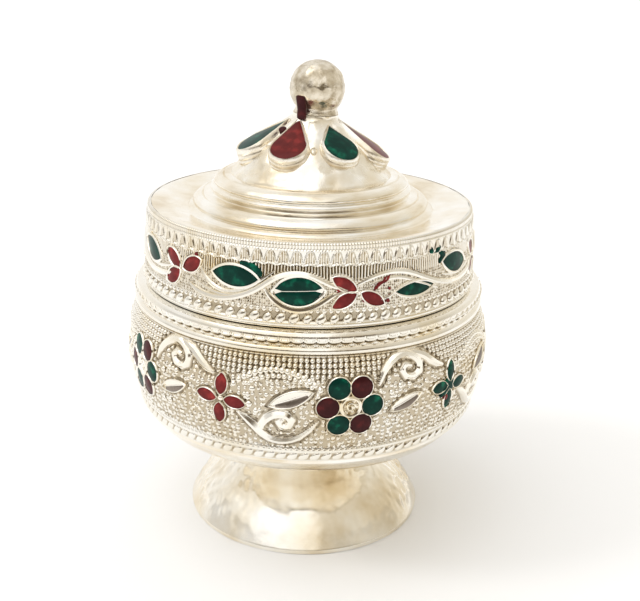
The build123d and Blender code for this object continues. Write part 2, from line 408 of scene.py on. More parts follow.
def silver(
    name, smooth, rough, grain, grain_scale, stretch=(1, 1, 1), embossed=False, tones=pale, cloud_scale=130
):
    """Warm silver plate: cloudy yellowed patches, worn gloss and a fine grain, with painted shade in the
    hollows where it is embossed.
    """
    material, tree, shader = new_material(name)
    cloud = add_noise(tree, scale=cloud_scale, detail=5, stretch=stretch)
    colour = add_ramp(tree, cloud, (0.36, tones[0]), (0.55, tones[1]), (0.74, tones[2]))
    if embossed:
        depth = add_node(tree, "Attribute")
        depth.attribute_name = "relief"
        # Painted shade: the colour darkens where the relief sinks into pits, grooves and trenches.
        recess_shade_stops = (0.12, (0.2, 0.16, 0.11)), (0.38, (0.66, 0.6, 0.5)), (0.58, (1, 1, 1))
        recess_shade = add_ramp(tree, depth.outputs["Fac"], *recess_shade_stops)
        colour = add_mix(tree, "MULTIPLY", 1.0, colour, recess_shade)
    wear = add_noise(tree, scale=420, detail=6, stretch=stretch)
    feed(tree, shader, Metallic=1.0, Base_Color=colour, Roughness=add_range(tree, wear, smooth, rough))
    pits = add_noise(tree, scale=grain_scale, detail=4, stretch=stretch)
    add_bump(tree, shader, pits, strength=grain, depth=0.06)
    return material


def enamel(name, deep, middle, bright):
    """Glossy enamel, with brighter patches where it lies thin over the metal."""
    material, tree, shader = new_material(name)
    pool = add_noise(tree, scale=780, detail=3)
    colour = add_ramp(tree, pool, (0.38, deep), (0.56, middle), (0.72, bright))
    feed(tree, shader, Base_Color=colour, Roughness=0.3, Specular_IOR_Level=0.05)
    feed(tree, shader, Coat_Weight=0.13, Coat_Roughness=0.08)
    ripple = add_noise(tree, scale=900, detail=2)
    add_bump(tree, shader, ripple, strength=0.25, depth=0.05)
    return material


# For each silver its least and greatest roughness, and the strength and scale of its grain
materials = {
    "embossed": silver("embossed_silver", 0.08, 0.2, 0.2, 3200, embossed=True, tones=plate),
    "turned": silver("turned_silver", 0.12, 0.26, 0.3, 900, stretch=(1, 1, 5), tones=tan),
    "cast": silver("cast_silver", 0.2, 0.38, 0.5, 1700, tones=tan, cloud_scale=220),
    "cup_side": silver("worn_silver", 0.18, 0.36, 0.6, 1700, tones=worn, cloud_scale=420),
    "knob": silver("knob_silver", 0.15, 0.34, 1.0, 1900, tones=dull, cloud_scale=900),
    # Painted shade: a dark copy of the silver for the lower halves of the belt's plain leaves.
    "shade": silver("shaded_silver", 0.2, 0.35, 0.3, 2600, tones=dark),
    "raised": silver("raised_silver", 0.08, 0.18, 0.15, 2600),
    "foot": silver("drawn_silver", 0.1, 0.22, 0.2, 700, tones=tan),
    "green_enamel": enamel("green_enamel", (0.001, 0.03, 0.021), (0.002, 0.047, 0.032), (0.005, 0.15, 0.085)),
    "maroon_enamel": enamel(
        "maroon_enamel", (0.045, 0.009, 0.01), (0.062, 0.012, 0.013), (0.13, 0.018, 0.018)
    ),
    "wine_enamel": enamel("wine_enamel", (0.11, 0.014, 0.013), (0.14, 0.018, 0.016), (0.24, 0.028, 0.025)),
    "red_enamel": enamel("red_enamel", (0.15, 0.018, 0.018), (0.21, 0.026, 0.026), (0.42, 0.05, 0.045)),
}


# Making of pieces

def keep_piece(name, bm, body, nodes, finish, sharp=38):
    """Turns a mesh in the making into a piece of the box."""
    bmesh.ops.recalc_face_normals(bm, faces=bm.faces)
    mesh = bpy.data.meshes.new(name)
    bm.to_mesh(mesh)
    bm.free()
    keep_mesh(name, mesh, body, nodes, finish, sharp)


def keep_mesh(name, mesh, body, nodes, finish, sharp=38):
    mesh.shade_smooth()
    mesh.set_sharp_from_angle(angle=radians(sharp))
    mesh.materials.clear()
    mesh.materials.append(materials[finish])
    piece = bpy.data.objects.new(name, mesh)
    bpy.context.scene.collection.objects.link(piece)
    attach(piece, body)
    if nodes:
        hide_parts(*nodes)


def spin_round(bm, steps):
    bmesh.ops.spin(
        bm, geom=bm.verts[:] + bm.edges[:], cent=(0, 0, 0), axis=(0, 0, 1), angle=2 * pi, steps=steps,
        use_merge=True,
    )


def turned(corners, steps, grain=0.5, closed=True):
    """A solid turned about Z from corners of radius, height and, where it is rounded, a rounding."""
    bm = bmesh.new()
    points = [bm.verts.new((corner[0] * mm, 0, corner[1] * mm)) for corner in corners]
    ends = zip(points, points[1:] + points[:1]) if closed else zip(points, points[1:])
    for pair in ends:
        bm.edges.new(pair)
    for point, corner in zip(points, corners):
        if len(corner) == 3:
            bmesh.ops.bevel(
                bm, geom=[point], offset=corner[2] * mm, offset_type="OFFSET", segments=5, profile=0.5,
                affect="VERTICES", material=-1,
            )
    for edge in bm.edges[:]:
        cuts = int(edge.calc_length() / (grain * mm))
        if cuts:
            bmesh.ops.subdivide_edges(bm, edges=[edge], cuts=cuts)
    spin_round(bm, steps)
    bmesh.ops.remove_doubles(bm, verts=bm.verts, dist=1e-7)
    return bm


def dent(bm, depth, scale, stretch=1.0, above=0.0, calm=0.0):
    """Beats hollows into a surface above a height, drawn out upwards, calmer in front and behind."""
    for vert in bm.verts:
        flat = hypot(vert.co.x, vert.co.y)
        if flat > 0.3 * mm:
            spot = Vector((vert.co.x, vert.co.y, vert.co.z / stretch)) * scale / mm
            share = min(max((vert.co.z / mm - above) / 1.5, 0), 1) * (1 - calm * abs(vert.co.y) / flat)
            push = 1 + share * depth * mm * noise.noise(spot) / flat
            vert.co.x *= push
            vert.co.y *= push


def rolled_sector(profile, first, turn, steps):
    """A sector of a ring: a grid whose rows follow a closed profile and whose columns turn about Z."""
    bm = bmesh.new()
    bmesh.ops.create_grid(bm, x_segments=steps, y_segments=len(profile), size=1)
    loop = profile + profile[:1]
    for vert in bm.verts:
        radius, z = loop[round((vert.co.y + 1) / 2 * len(profile))]
        vert.co = at(radius, first + turn * (vert.co.x + 1) / 2, z)
    bmesh.ops.remove_doubles(bm, verts=bm.verts, dist=1e-8)
    return bm


def emboss(bm, skin, relief, name):
    """Presses a relief into the outer skin of a rolled sector, closes its ends and keeps its depth."""
    mesh = bpy.data.meshes.new(name)
    bm.to_mesh(mesh)
    place = np.empty(3 * len(mesh.vertices))
    mesh.vertices.foreach_get("co", place)
    x, y, z = place.reshape(-1, 3).T / mm
    radius = np.hypot(x, y)
    azimuth = np.degrees(np.arctan2(x, -y))
    outer = radius > skin(z) - 0.3
    rise = np.where(outer, relief(azimuth, z), 0)
    push = 1 + rise / radius
    mesh.vertices.foreach_set("co", (np.stack([x * push, y * push, z], 1) * mm).ravel())
    bm.clear()
    bm.from_mesh(mesh)
    bmesh.ops.holes_fill(bm, edges=[edge for edge in bm.edges if edge.is_boundary], sides=0)
    bmesh.ops.recalc_face_normals(bm, faces=bm.faces)
    bm.to_mesh(mesh)
    bm.free()
    # The depth is kept as the relief attribute, from which the embossed silver paints shade into its
    # recesses.
    depth = mesh.attributes.new("relief", "FLOAT", "POINT")
    depth.data.foreach_set("value", np.where(outer, np.clip(0.62 + 2.4 * rise, 0, 1), 0.62))
    return mesh


def repeat_sector(name, mesh, count, body, node):
    """The same embossed sector round the axis, as separate pieces."""
    for place in range(count):
        copy = mesh.copy()
        copy.transform(Matrix.Rotation(2 * pi * place / count, 4, "Z"))
        keep_mesh(f"{name}_{place + 1}", copy, body, [node], "embossed")


def wrap(turn, period):
    """An angle within half a period of nought."""
    return (turn + period / 2) % period - period / 2


def mound(distance, width):
    """A rounded ridge, one high, over a distance from its crest."""
    return np.clip(1 - (distance / width) ** 2, 0, None)


def scatter(column, row, seed):
    """A number from nought to one for each place of a grid, the same on each run."""
    return np.modf(np.abs(np.sin(column * 12.99 + row * 78.23 + seed)) * 437.58)[0]


def cell_gap(cells, skin, azimuth, z):
    """How far points of a skin lie outside the nearest cell."""
    gap = np.full(azimuth.shape, 9.0)
    for _, middle, height, tilt, outline in cells:
        across = np.radians(wrap(azimuth - middle, 360)) * float(skin(height))
        lean = radians(tilt)
        rise = z - height
        x = across * cos(lean) + rise * sin(lean)
        y = rise * cos(lean) - across * sin(lean)
        gap = np.minimum(gap, outline(x, y))
    return gap


def line_gap(lines, azimuth, z, thickness):
    """Distance from points of the belt to the edges of the nearest line laid on it."""
    gap = np.full(azimuth.shape, 9.0)
    for line in lines:
        for first, last in zip(line, line[1:]):
            for share in (0, 0.2, 0.4, 0.6, 0.8):
                spot_azimuth, spot_z, size = (a + share * (b - a) for a, b in zip(first, last))
                away = np.hypot(np.radians(azimuth - spot_azimuth) * bowl_r, z - spot_z)
                gap = np.minimum(gap, away - thickness * size)
    return gap


ball_mesh = bpy.data.meshes.new("ball_pattern")
bead_mesh = bpy.data.meshes.new("bead_pattern")
ring_mesh = bpy.data.meshes.new("ring_pattern")
ring_r = 3


def make_patterns():
    """Two balls and a ring, the starting shapes of the drops, the beads and the rims."""
    bm = bmesh.new()
    bmesh.ops.create_uvsphere(bm, u_segments=32, v_segments=14, radius=1)
    bm.to_mesh(ball_mesh)
    bm.clear()
    bmesh.ops.create_uvsphere(bm, u_segments=10, v_segments=6, radius=1)
    bm.to_mesh(bead_mesh)
    bm.clear()
    stand = Matrix.Translation((ring_r, 0, 0)) @ Matrix.Rotation(pi / 2, 4, "X")
    bmesh.ops.create_circle(bm, segments=8, radius=1, matrix=stand)
    spin_round(bm, 48)
    bm.to_mesh(ring_mesh)
    bm.free()


make_patterns()


def add_pattern(bm, mesh):
    """Adds a pattern and gives its vertices."""
    first = len(bm.verts)
    bm.from_mesh(mesh)
    bm.verts.ensure_lookup_table()
    return bm.verts[first:]


def add_drop(bm, gap, place, edge, crown, sink, pattern=ball_mesh):
    """A closed drop: a ball drawn out to an outline, with an upright edge and a crowned face."""
    spans = {}
    for vert in add_pattern(bm, pattern):
        x, y, up = vert.co
        turn = round(atan2(y, x), 4)
        if turn not in spans:
            spans[turn] = reach(gap, turn)
        span = hypot(x, y) * spans[turn]
        if up > 0:
            out = edge * up**0.3 + crown * up * up
        else:
            out = -sink * abs(up) ** 0.3
        vert.co = place(span * cos(turn), span * sin(turn), out)


def add_rim(bm, gap, place, half_width, height, grow=0.0, lift=0.0):
    """A rounded wire round an outline, or round the outline grown outwards."""
    spots = {}
    step = 0.01
    for vert in add_pattern(bm, ring_mesh):
        turn = round(atan2(vert.co.y, vert.co.x), 4)
        if turn not in spots:
            span = reach(gap, turn)
            x, y = span * cos(turn), span * sin(turn)
            slope = Vector((gap(x + step, y) - gap(x - step, y), gap(x, y + step) - gap(x, y - step)))
            spots[turn] = x, y, slope.normalized()
        x, y, away = spots[turn]
        side = grow + (hypot(vert.co.x, vert.co.y) - ring_r) * half_width
        vert.co = place(x + away.x * side, y + away.y * side, lift + vert.co.z * height)


def add_wires(bm, lines, skin, thickness, lift=0.0):
    """Smooth raised lines over a skin, through points of azimuth, height and thickness share."""
    curve = bpy.data.curves.new("wires", "CURVE")
    curve.dimensions = "3D"
    curve.bevel_depth = thickness * mm
    curve.bevel_resolution = 2
    curve.resolution_u = 7
    curve.use_fill_caps = True
    for line in lines:
        spline = curve.splines.new("NURBS")
        spline.points.add(len(line) - 1)
        for point, (azimuth, z, share) in zip(spline.points, line):
            point.co = (*at(float(skin(z)) + lift, azimuth, z), 1)
            point.radius = share
        spline.order_u = 4
        spline.use_endpoint_u = True
    holder = bpy.data.objects.new("wires", curve)
    mesh = bpy.data.meshes.new_from_object(holder)
    bm.from_mesh(mesh)
    bpy.data.objects.remove(holder)
    bpy.data.curves.remove(curve)
    bpy.data.meshes.remove(mesh)


# Bowl

def bowl_skin(z):
    """Outer radius of the bowl's wall: the belt between a corded hem and a shoulder of two rolls."""
    hem = np.interp(z, (ledge_z, ledge_z + 0.35, belt_low), (shoulder_r, shoulder_r + 0.25, belt_edge_r))
    neck = np.interp(z, (belt_high, shoulder_z), (belt_edge_r, shoulder_r - 0.1))
    low_roll = 0.36 * np.sqrt(mound(z - (belt_high + 0.5), 0.45))
    high_roll = 0.42 * np.sqrt(mound(z - (shoulder_z - 0.6), 0.62))
    skin = np.where(z < belt_low, hem, belt_skin(z))
    return np.where(z > belt_high, neck + np.maximum(low_roll, high_roll), skin)


def grain_relief(azimuth, z):
    """Grains in rows at the belt's top and strewn below, with a trench round each motif."""
    column = np.round(azimuth / grain_turn)
    row = np.round((z - belt_mid) / grain_h)
    place = column % grain_columns
    loose = np.clip((belt_high - 2.0 - z) / 1.2, 0.12, 0.75)
    aside = loose * (scatter(place, row, 1) - 0.5)
    above = loose * (scatter(place, row, 2) - 0.5)
    across = np.radians(azimuth - (column + aside) * grain_turn) * bowl_r
    rise = z - belt_mid - (row + above) * grain_h
    size = grain_r * (1 - 0.4 * loose * scatter(place, row, 3))
    grains = grain_rise * np.sqrt(mound(np.hypot(across, rise), size)) - ground_depth
    ground = np.clip((z - belt_low - 0.5) / 0.1, 0, 1) * np.clip((belt_high - 0.2 - z) / 0.1, 0, 1)
    motifs = [cell for pair in (-1, 0, 1) for cell in belt_cells(pair) + belt_leaf_cells(pair)]
    scrolls = [line for pair in (-1, 0, 1) for line in scroll_lines(pair * pair_turn)]
    local = wrap(azimuth - rosette_azimuth, pair_turn) + rosette_azimuth
    gap = np.minimum(cell_gap(motifs, belt_skin, local, z), line_gap(scrolls, local, z, thickness=0.42))
    grains = grains * (1.4 - 0.8 * loose) * np.clip(gap / 0.3 - 0.3, 0, 1)
    return ground * (grains - 0.15 * mound(gap - 0.16, 0.24))


def bowl_relief(azimuth, z):
    """The grained ground, a scalloped edge under the shoulder's roll, fine lines and a corded hem."""
    height = grain_relief(azimuth, z)

    across = np.radians(wrap(azimuth - 0.7, pair_turn / scallops)) * shoulder_r
    edge = shoulder_z - 0.85 - 0.52 * np.sqrt(mound(across, 0.74))
    near_edge = np.abs(z - edge) < 0.5
    step = 0.14 * np.clip((z - edge) / 0.1, 0, 1) - 0.24 * mound(z - edge, 0.17)
    height += np.where(near_edge, step, 0)

    lines = ((belt_high - 0.02, -0.18), (belt_low + 0.42, 0.12), (belt_low + 0.1, 0.12))
    for line, depth in lines:
        height += depth * mound(z - line, 0.13)
    height -= 0.1 * np.cos(pi * azimuth / grain_turn) ** 2 * mound(z - belt_low - 0.26, 0.12)

    rise = z - ledge_z - 0.66
    across = np.radians(wrap(azimuth + 0.34, pair_turn / hem_cords)) * shoulder_r
    cord = np.sqrt(mound(np.hypot(0.85 * (across - 0.5 * rise), rise), 0.5))
    height += 0.25 * cord - 0.14 * mound(rise, 0.6)
    return height


def belt_leaf_cells(pair):
    """The two plain silver leaves of one pair."""
    return [
        ("", azimuth + pair_turn * pair, belt_mid + rise, silver_leaf_tilt, almond(length, width))
        for azimuth, rise, length, width in silver_leaves
    ]


def make_bowl_wall():
    rows = 200
    heights = [ledge_z + (shoulder_z - ledge_z) * row / rows for row in range(rows + 1)]
    profile = [(float(bowl_skin(z)), z) for z in heights]
    profile += [
        (mouth_r, shoulder_z),
        (mouth_r, shoulder_z - 1.2),
        (mouth_r + wall, shoulder_z - 1.2),
        (belt_edge_r - wall, belt_high),
        (bowl_r - wall - 0.15, belt_mid + 2.5),
        (bowl_r - wall, belt_mid),
        (bowl_r - wall - 0.4, belt_mid - 3),
        (shoulder_r - wall - 0.2, belt_low),
        (shoulder_r - wall - 0.2, ledge_z),
    ]
    seam = quatrefoil_azimuth + 9.5
    bm = rolled_sector(profile, seam, pair_turn, steps=420)
    repeat_sector("bowl_wall", emboss(bm, bowl_skin, bowl_relief, "bowl_sector"), pairs, "bowl", "bowl_wall")


def scroll_lines(turn):
    """The two scrolls of one pair: a high one right of the rosette and a low one left of it."""
    high = [
        (21.2, 26.7, 0.45), (22.5, 27.9, 1.0), (24.4, 28.85, 1.2), (26.9, 29.5, 1.25), (30.0, 29.8, 1.2),
        (33.0, 29.4, 1.15), (35.2, 28.5, 1.1), (34.9, 27.4, 1.0), (32.6, 26.85, 0.9), (29.9, 27.1, 0.85),
        (28.6, 27.9, 0.8), (29.9, 28.5, 0.75), (31.9, 28.2, 0.7),
    ]
    tail = [
        (29.0, 29.8, 0.5), (33.0, 29.75, 1.1), (36.4, 29.3, 1.2), (39.2, 28.3, 1.2), (42.0, 27.6, 1.0),
        (44.6, 27.2, 0.4),
    ]
    low = [
        (-19.8, 23.1, 0.4), (-17.2, 22.5, 1.1), (-14.5, 21.6, 1.4), (-12.4, 20.6, 1.3), (-9.4, 19.95, 1.3),
        (-5.8, 19.85, 1.2), (-2.0, 20.3, 1.0), (1.2, 21.4, 0.8), (3.6, 22.7, 0.35),
    ]
    curl = [
        (-13.2, 20.5, 0.6), (-12.8, 21.8, 1.1), (-10.9, 22.9, 1.3), (-8.1, 23.5, 1.3), (-5.4, 23.4, 1.2),
        (-4.0, 22.7, 1.1), (-4.8, 21.9, 1.0), (-6.8, 21.7, 0.9), (-7.8, 22.3, 0.85), (-6.5, 22.75, 0.8),
    ]
    return [[(azimuth + turn, z, share) for azimuth, z, share in line] for line in (high, tail, low, curl)]


def chain_spots():
    """Grains of the beaded sprig that arches over the leaf between flower and rosette."""
    spots = []
    count = 17
    for place in range(count):
        share = place / (count - 1)
        azimuth = -21.0 + 25.0 * share
        z = 26.5 + 2.2 * sin(pi * share) ** 0.8
        spots.append((azimuth, z, 0.36))
        if 1 < place < count - 2:
            spots.append((azimuth + 0.7, z - 0.68, 0.3))
    return spots


def leaf_half(place, width, side):
    """Lays one half of a leaf so that it falls towards the vein."""
    return lambda x, y, out: place(x, y + side * width / 4, out + 0.3 * side * y * (out > 0))


def make_scrolls():
    bm = bmesh.new()
    for pair in range(pairs):
        add_wires(bm, scroll_lines(pair_turn * pair), belt_skin, scroll_r, lift=-0.24)
    keep_piece("belt_scrolls", bm, "bowl", [], "raised")


def make_silver_leaves():
    """The belt's plain leaves, each with a rim, an upper half in plain silver and a lower half in dark silver
    that paints its shade.
    """
    leaves = bmesh.new()
    shades = bmesh.new()
    for pair in range(pairs):
        for (_, azimuth, z, tilt, outline), leaf in zip(belt_leaf_cells(pair), silver_leaves):
            length, width = leaf[2:]
            place = on_skin(belt_skin, azimuth, z, tilt)
            add_rim(leaves, outline, place, half_width=0.12, height=0.26, grow=0.02)
            for side, halves in ((1, leaves), (-1, shades)):
                half = leaf_half(place, width, side)
                add_drop(halves, lobe(length, width, side), half, edge=0.14, crown=0.0, sink=0.1)
    keep_piece("belt_leaves", leaves, "bowl", [], "raised", sharp=30)
    # The lower halves take the dark silver as painted shade.
    keep_piece("belt_leaf_shaded_halves", shades, "bowl", [], "shade", sharp=30)


def make_belt_beads():
    """The beaded sprigs, and single buds among the motifs."""
    buds = [
        (-16.2, 24.3, 0.4), (-14.2, 23.6, 0.36), (3.3, 25.8, 0.3), (24.9, 25.6, 0.34), (27.8, 26.2, 0.34),
        (30.8, 26.2, 0.3), (24.4, 21.6, 0.36), (27.5, 21.9, 0.3), (37.0, 26.0, 0.3),
    ]
    bm = bmesh.new()
    for pair in range(pairs):
        for azimuth, z, radius in chain_spots() + buds:
            place = on_skin(belt_skin, azimuth + pair_turn * pair, z)
            add_drop(bm, disc(radius), place, edge=0.06, crown=0.2, sink=0.1, pattern=bead_mesh)
    keep_piece("belt_beads", bm, "bowl", [], "raised")


def make_belt_rims():
    """The rims round the belt's enamel."""
    bm = bmesh.new()
    for pair in range(pairs):
        for _, azimuth, z, tilt, outline in belt_cells(pair):
            place = on_skin(belt_skin, azimuth, z, tilt)
            add_rim(bm, outline, place, half_width=0.1, height=0.24, grow=0.07)
    keep_piece("belt_rims", bm, "bowl", [], "raised")


def make_eyes():
    """A ring with a swirl in the middle of each rosette, and a stud in each four-petalled flower."""
    bm = bmesh.new()
    around = degrees(1 / bowl_r)
    for pair in range(pairs):
        azimuth = rosette_azimuth + pair_turn * pair
        middle = on_skin(belt_skin, azimuth, belt_mid)
        add_rim(bm, disc(eye_r), middle, half_width=0.26, height=0.3)
        swirl = []
        for step in range(13):
            radius = swirl_r * (1 - step / 16)
            turn = 0.62 * step
            swirl.append((azimuth + radius * cos(turn) * around, belt_mid + radius * sin(turn), 1.0))
        add_wires(bm, [swirl], belt_skin, thickness=0.15, lift=0.06)
        flower = on_skin(belt_skin, quatrefoil_azimuth + pair_turn * pair, belt_mid)
        add_drop(bm, disc(stud_r), flower, edge=0.05, crown=0.16, sink=0.1, pattern=bead_mesh)
    keep_piece("rosette_eyes", bm, "bowl", [], "raised")


def make_cell_enamel(cells, skin, body, edge, crown):
    """One piece of enamel for each CAD node, with a drop for each of its cells."""
    drops = {}
    for node, azimuth, z, tilt, outline in cells:
        if node not in drops:
            drops[node] = bmesh.new()
        add_drop(drops[node], outline, on_skin(skin, azimuth, z, tilt), edge, crown, sink=0.12)
    for node, bm in drops.items():
        colour = enamel_colour(node)
        finish = "maroon_enamel" if node.startswith("rosette_red") else colour
        keep_piece(f"{node}_fill", bm, body, [node], finish, sharp=60)


def make_base_dish():
    floor_z = dish_low + 0.9
    corners = [
        (0, dish_low), (13.0, dish_low), (17.6, dish_low + 1.35, 3.0), (20.6, dish_low + 3.3, 2.0),
        (dish_r, ledge_z - 0.5, 0.25), (dish_r, ledge_z, 0.12), (20.75, ledge_z), (20.75, dish_top, 0.1),
        (19.95, dish_top, 0.1), (19.95, ledge_z, 0.8), (19.15, (floor_z + ledge_z) / 2, 1.0),
        (13.0, floor_z, 2.5), (0, floor_z),
    ]
    bm = turned(corners, steps=192, closed=False)
    dent(bm, depth=0.05, scale=0.35)
    keep_piece("base_dish_shell", bm, "bowl", ["base_dish"], "turned")


def make_foot():
    corners = [
        (foot_r - 1.4, foot_low), (foot_r - 0.05, foot_low, 0.2), (foot_r, foot_low + 0.6, 0.06),
        (15.1, foot_low + 1.7, 0.6), (14.3, foot_low + 3.0, 0.8), (12.7, foot_low + 4.8, 1.4),
        (9.6, 7.75, 1.0), (8.45, 9.2, 0.8), (8.55, 10.4, 0.6), (9.2, foot_top), (7.4, foot_top),
        (7.4, 6.9, 0.6),
    ]
    bm = turned(corners, steps=320, grain=0.28)
    dent(bm, depth=0.24, scale=0.36, stretch=2.4, above=3.2, calm=0.4)
    dent(bm, depth=0.34, scale=1.3, stretch=5.0, above=1.0, calm=0.94)
    keep_piece("foot_bell", bm, "bowl", ["foot"], "foot")


def make_neck():
    inner = 18.9
    corners = [
        (inner, flange_z), (flange_r, flange_z, 0.15), (flange_r, flange_z + 0.7), (19.7, flange_z + 0.7),
        (19.7, neck_top, 0.3), (inner, neck_top, 0.3),
    ]
    bm = turned(corners, steps=160)
    dent(bm, depth=0.04, scale=0.3)
    keep_piece("neck_sleeve", bm, "bowl", ["neck_collar"], "turned")


# Lid

def lid_skin(z):
    """Outer radius of the lid's band, eased at its rim and at its top edge."""
    low = 0.22 * np.clip(1 - (z - band_foot) / 0.28, 0, 1) ** 2
    high = 0.2 * np.clip(1 - (band_top - z) / 0.2, 0, 1) ** 2
    return band_skin(z) - low - high


def band_ground(azimuth, z):
    """Hatching over a speckled strip, worn smooth beside the enamel."""
    cells = [cell for wave in range(waves) for cell in band_cells(wave)]
    open_ground = np.clip(cell_gap(cells, band_skin, azimuth, z) / 0.25 - 0.5, 0, 1)
    ground = np.clip((z - band_low - ground_low) / 0.15, 0, 1)
    ground *= np.clip((band_low + ground_high - z) / 0.15, 0, 1)
    sway = 0.12 * np.sin(azimuth / 5) * (z - low_z)
    hatch = np.cos(2 * pi * (azimuth * hatch_lines_per_degree + sway))
    upper = np.clip((z - band_low - 5.3) / 0.8, 0.15, 1)
    column = np.round(azimuth / speck_turn)
    row = np.round((z - band_low) / speck_h)
    specks = scatter(column % (wave_turn / speck_turn), row, 0)
    specks *= np.cos(pi * azimuth / speck_turn) ** 2 * np.cos(pi * (z - band_low) / speck_h) ** 2
    return ((0.11 * hatch - 0.11) * upper - (0.05 + 0.28 * specks) * (1 - upper)) * ground * open_ground


def band_relief(azimuth, z):
    """The ground, rows of beads below it, and a scalloped line, rounded arches and ribs above it."""
    height = band_ground(azimuth, z)

    for count, turn, row, radius, rise, slant in bead_rows:
        away = z - band_low - row
        along = azimuth - turn - np.degrees(slant * away / rim_r)
        bead = np.round(along * count / wave_turn) % count
        across = np.radians(wrap(along, wave_turn / count)) * rim_r
        size = radius * (1 - 0.18 * scatter(bead, row, 4))
        height += rise * np.sqrt(mound(np.hypot(across, away), size))
    height -= 0.15 * mound(z - band_low - 1.65, 0.95)

    across = np.radians(wrap(azimuth - arch_shift, arch_turn)) * rim_r
    tall = np.clip((z - band_low - arch_low) / arch_h, 0, 1)
    flank = 0.68 * np.sqrt(1 - tall**1.5) - np.abs(across)
    inside = (tall > 0) & (tall < 1)
    ridge = 0.13 * mound(flank - 0.06, 0.13)
    fill = np.where(flank > 0.1, 0.05 * np.cos(2 * pi * across / 0.28) - 0.07, 0.0)
    height += np.where(inside, ridge + fill, 0)

    wave = band_low + ground_high + 0.12 * np.cos(2 * pi * (azimuth - arch_shift) / arch_turn)
    height += 0.13 * mound(z - wave, 0.15)
    for line, rise in ((0.8, 0.12), (9.1, 0.08)):
        height += rise * mound(z - band_low - line, 0.13)
    ribs = np.clip((z - band_low - rib_low) / 0.1, 0, 1)
    height += 0.05 * ribs * (np.cos(2 * pi * azimuth * hatch_lines_per_degree) - 0.6)
    return height


def make_lid_band():
    rows = 114
    bore = 19.9
    lap = 20.25
    heights = [band_foot + (band_top - band_foot) * row / rows for row in range(rows + 1)]
    profile = [(float(lid_skin(z)), z) for z in heights]
    profile += [(lap, band_top), (lap, deck_z), (bore, deck_z)]
    profile += [(bore, (deck_z + band_low) / 2), (bore, band_foot)]
    seam = 46.0
    bm = rolled_sector(profile, seam - wave_turn, wave_turn, steps=720)
    repeat_sector("lid_band", emboss(bm, band_skin, band_relief, "band_sector"), waves, "lid", "lid_band")


def vine_lines(turn):
    """The vine of one wave, from its high blossom through the low one to the next high blossom."""
    main = [
        (-40.8, 36.6, 0.5), (-38.6, 36.15, 1.0), (-36.0, 35.9, 1.2), (-31.4, 35.65, 1.2), (-26.4, 35.8, 1.2),
        (-21.0, 36.4, 1.2), (-16.4, 37.25, 1.2), (-12.8, 38.25, 1.2), (-9.4, 39.15, 1.3), (-5.0, 39.6, 1.3),
        (-0.4, 39.5, 1.3), (4.0, 38.8, 1.2), (7.8, 38.0, 1.0), (12.0, 37.6, 0.5),
    ]
    branch = [
        (-13.6, 37.6, 0.5), (-12.0, 36.8, 1.1), (-9.6, 36.0, 1.3), (-6.0, 35.4, 1.3), (-2.0, 35.25, 1.3),
        (2.0, 35.7, 1.3), (5.4, 36.5, 1.1), (8.4, 37.3, 0.9), (11.6, 37.4, 0.5),
    ]
    right = [
        (15.0, 38.2, 0.5), (18.4, 38.8, 1.0), (23.0, 39.35, 1.1), (28.6, 39.4, 1.2), (33.6, 38.95, 1.2),
        (38.0, 38.2, 1.2), (42.4, 37.5, 1.2), (47.0, 36.9, 1.2), (52.0, 36.45, 1.2), (57.0, 36.2, 1.2),
        (62.6, 36.3, 1.2), (67.2, 36.6, 1.0), (70.6, 37.1, 0.5),
    ]
    left_vein = [
        (-36.4, 39.1, 0.3), (-35.2, 38.0, 0.8), (-31.6, 37.0, 0.9), (-26.8, 36.55, 0.9), (-21.6, 36.95, 0.9),
        (-16.6, 37.95, 0.9), (-13.0, 38.95, 0.7), (-10.4, 39.7, 0.3),
    ]
    middle_vein = [
        (-39.4, 37.3, 0.3), (-34.6, 36.6, 0.6), (-29.6, 36.15, 0.6), (-24.4, 36.2, 0.6), (-18.6, 36.95, 0.6),
        (-14.4, 37.9, 0.3),
    ]
    right_vein = [
        (18.4, 37.9, 0.3), (22.6, 38.5, 0.8), (27.4, 38.75, 0.8), (32.4, 38.3, 0.8), (37.4, 37.5, 0.8),
        (42.0, 36.75, 0.7), (46.0, 36.2, 0.3),
    ]
    spray = [(22.4, 36.2, 0.3), (24.6, 36.3, 0.8), (26.6, 36.6, 0.8), (28.2, 37.0, 0.3)]
    far_vein = [
        (48.0, 37.7, 0.3), (53.0, 37.25, 0.8), (59.0, 37.05, 0.8), (65.0, 37.3, 0.8), (70.0, 37.9, 0.3),
    ]
    lines = (main, branch, right, left_vein, middle_vein, right_vein, spray, far_vein)
    return [[(azimuth + turn, z, share) for azimuth, z, share in line] for line in lines]


def make_band_ornament():
    """The raised vine, and the rims round the enamel cells."""
    vine = bmesh.new()
    rims = bmesh.new()
    for wave in range(waves):
        add_wires(vine, vine_lines(wave_turn * wave), band_skin, vine_r, lift=-0.05)
        for node, azimuth, z, tilt, outline in band_cells(wave):
            if "broad" in node:
                continue
            width = 0.2 if "high_leaf" in node or "slim" in node else 0.13
            place = on_skin(band_skin, azimuth, z, tilt)
            add_rim(rims, outline, place, width, height=0.26, grow=width * 0.8, lift=0.02)
        azimuth = low_azimuth - leaf_offset + broad_leaf_shift + wave_turn * wave
        place = on_skin(band_skin, azimuth, broad_leaf_z, broad_leaf_tilt)
        outline = almond(leaf_length, broad_leaf_w)
        add_rim(rims, outline, place, half_width=0.18, height=0.26, grow=0.15, lift=0.02)
    keep_piece("band_vine", vine, "lid", [], "raised")
    keep_piece("band_rims", rims, "lid", [], "raised")


